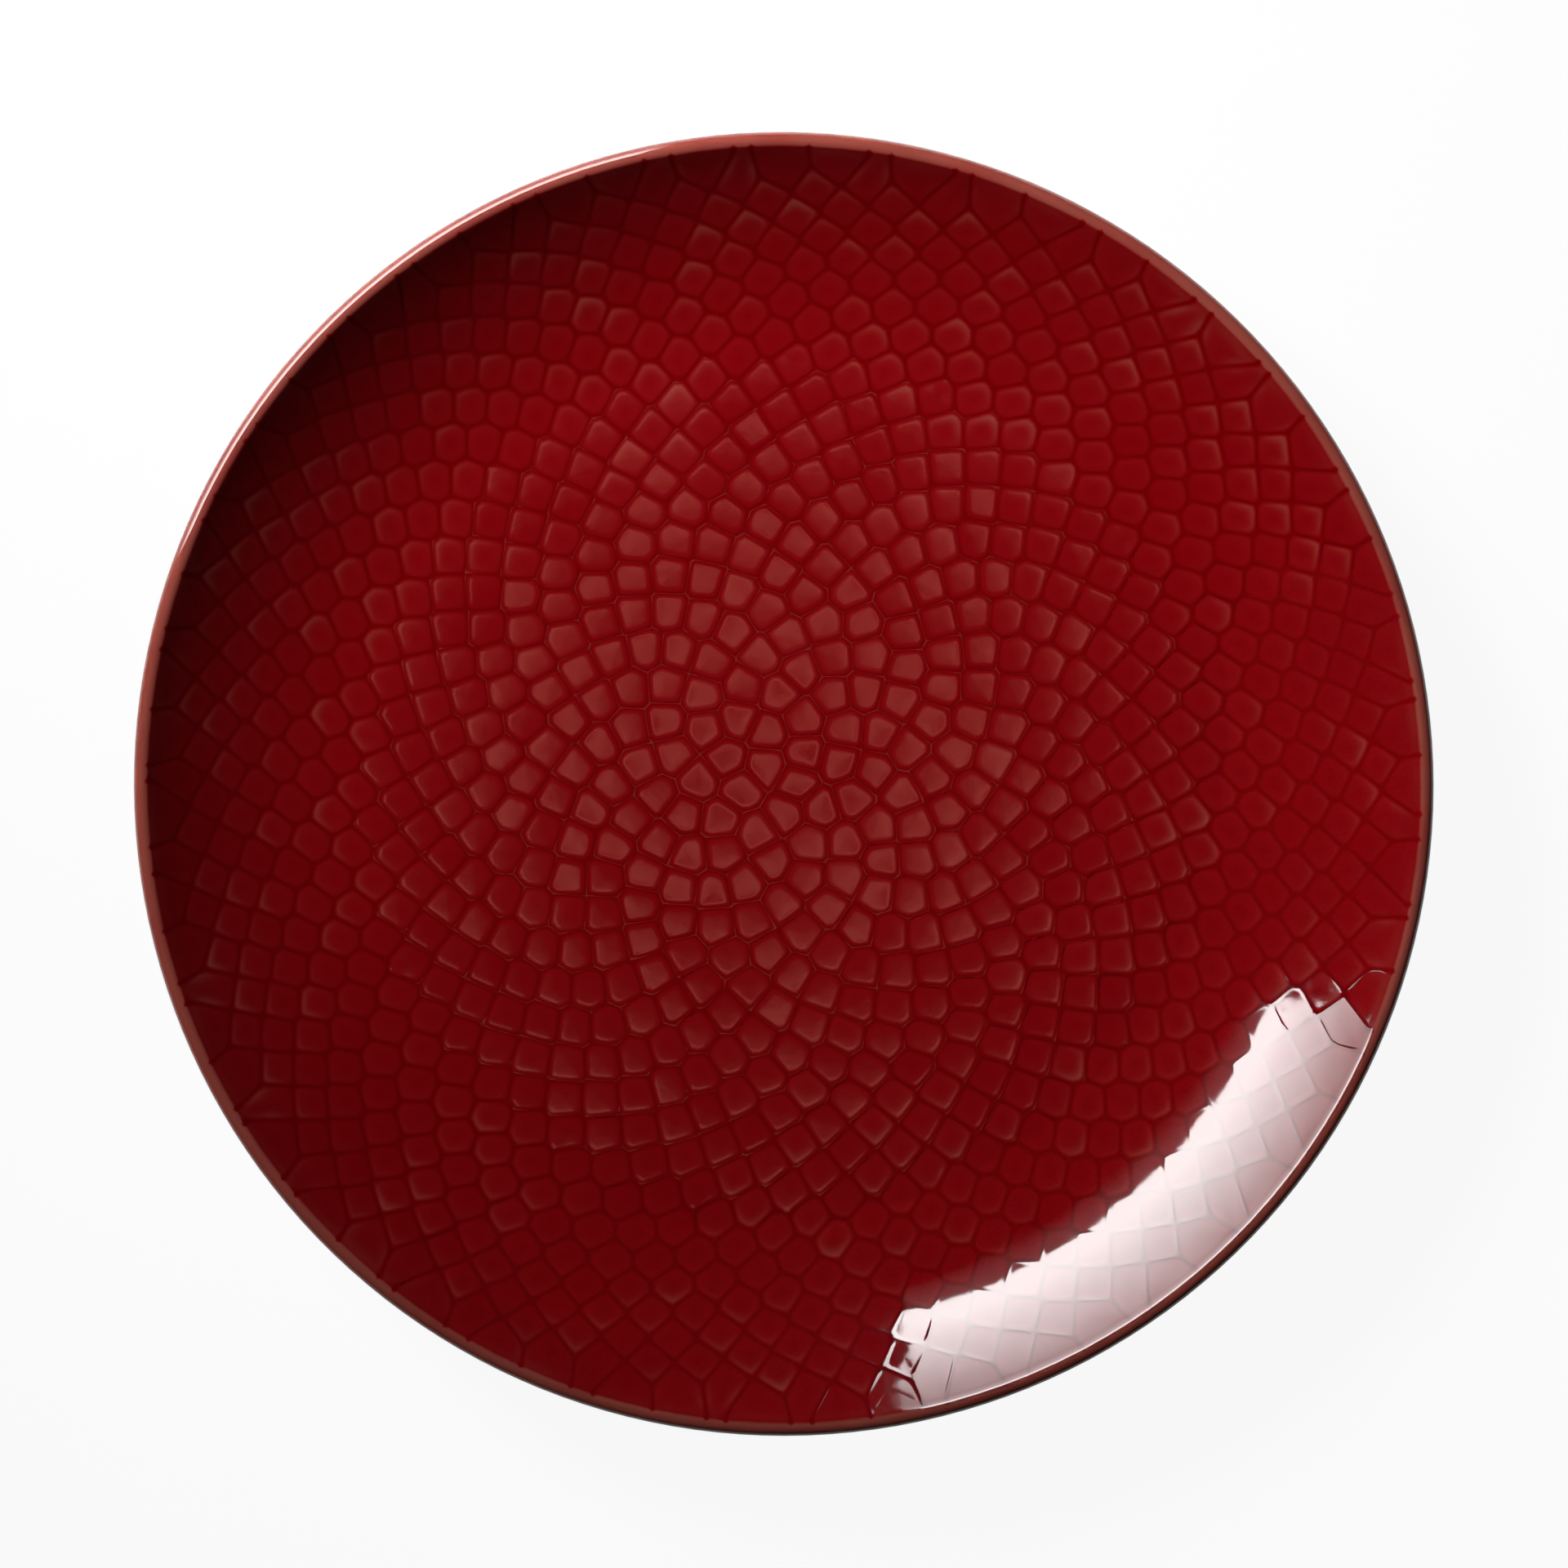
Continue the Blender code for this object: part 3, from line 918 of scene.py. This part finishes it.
def add_softbox():
    """The softbox that the wall mirrors. Its sides slant, its upper edge sags and its lower end is dim."""
    lamp = area_light("softbox", SOFTBOX_PLACE, SOFTBOX_AIM, SOFTBOX_SIZE, SOFTBOX_RADIANCE)
    lamp.visible_diffuse = False
    nodes = Nodes(lamp.data)
    place = nodes.add("ShaderNodeNewGeometry").outputs["Parametric"]
    x, y, _ = nodes.add("ShaderNodeSeparateXYZ", Vector=place).outputs
    off = nodes.math("SUBTRACT", x, nodes.math("MULTIPLY_ADD", y, SOFTBOX_SKEW, HALF))
    half = nodes.math("MULTIPLY_ADD", y, -SOFTBOX_TAPER, HALF)
    inside = nodes.math("LESS_THAN", nodes.math("ABSOLUTE", off), half)
    sunk = nodes.math("MULTIPLY", nodes.math("MULTIPLY", off, off), SOFTBOX_SAG)
    level = nodes.levels(nodes.math("SUBTRACT", y, sunk), SOFTBOX_LEVELS)
    level = nodes.math("MULTIPLY", nodes.math("MULTIPLY", level, inside), flag_shade(nodes))
    nodes.fill(nodes.named("Emission"), Strength=level)


def add_flood():
    """The light on the plate, which the glaze doesn't mirror."""
    lamp = area_light("flood", FLOOD_PLACE, FLOOD_AIM, FLOOD_SIZE, FLOOD_RADIANCE)
    lamp.visible_glossy = False
    lamp.data.spread = FLOOD_SPREAD


def add_top_light():
    """The small light above, round, with a dark middle and a soft edge."""
    light = area_light("top", TOP_PLACE, TOP_AIM, TOP_SIZE, TOP_RADIANCE).data
    light.color = TOP_TINT
    nodes = Nodes(light)
    place = nodes.add("ShaderNodeNewGeometry").outputs["Parametric"]
    off = nodes.measure("DISTANCE", place, (HALF, HALF, 0))
    nodes.fill(nodes.named("Emission"), Strength=nodes.levels(off, TOP_LEVELS))


def add_camera():
    """A camera above the plate, leaning slightly, with the top of the picture along +Y."""
    back = Vector((*CAMERA_LEAN, 1)).normalized()
    up = (Vector((0, 1, 0)) - back * back.y).normalized()
    right = up.cross(back)
    camera = bpy.data.cameras.new("camera")
    camera.sensor_width = SENSOR_WIDTH
    camera.lens = SENSOR_WIDTH * CAMERA_DISTANCE / FRAME_WIDTH
    holder = bpy.data.objects.new("camera", camera)
    turn = Matrix((right, up, back)).transposed().to_4x4()
    holder.matrix_world = Matrix.Translation(CAMERA_AIM + back * CAMERA_DISTANCE) @ turn
    bpy.context.scene.collection.objects.link(holder)
    bpy.context.scene.camera = holder


glaze = red_glaze()
build_glaze(glaze)
build_base_glaze(glaze)
build_clay(bare_clay())

white_floor()
white_world()
add_softbox()
add_flood()
add_top_light()
add_camera()
bpy.context.scene.view_settings.view_transform = "Standard"
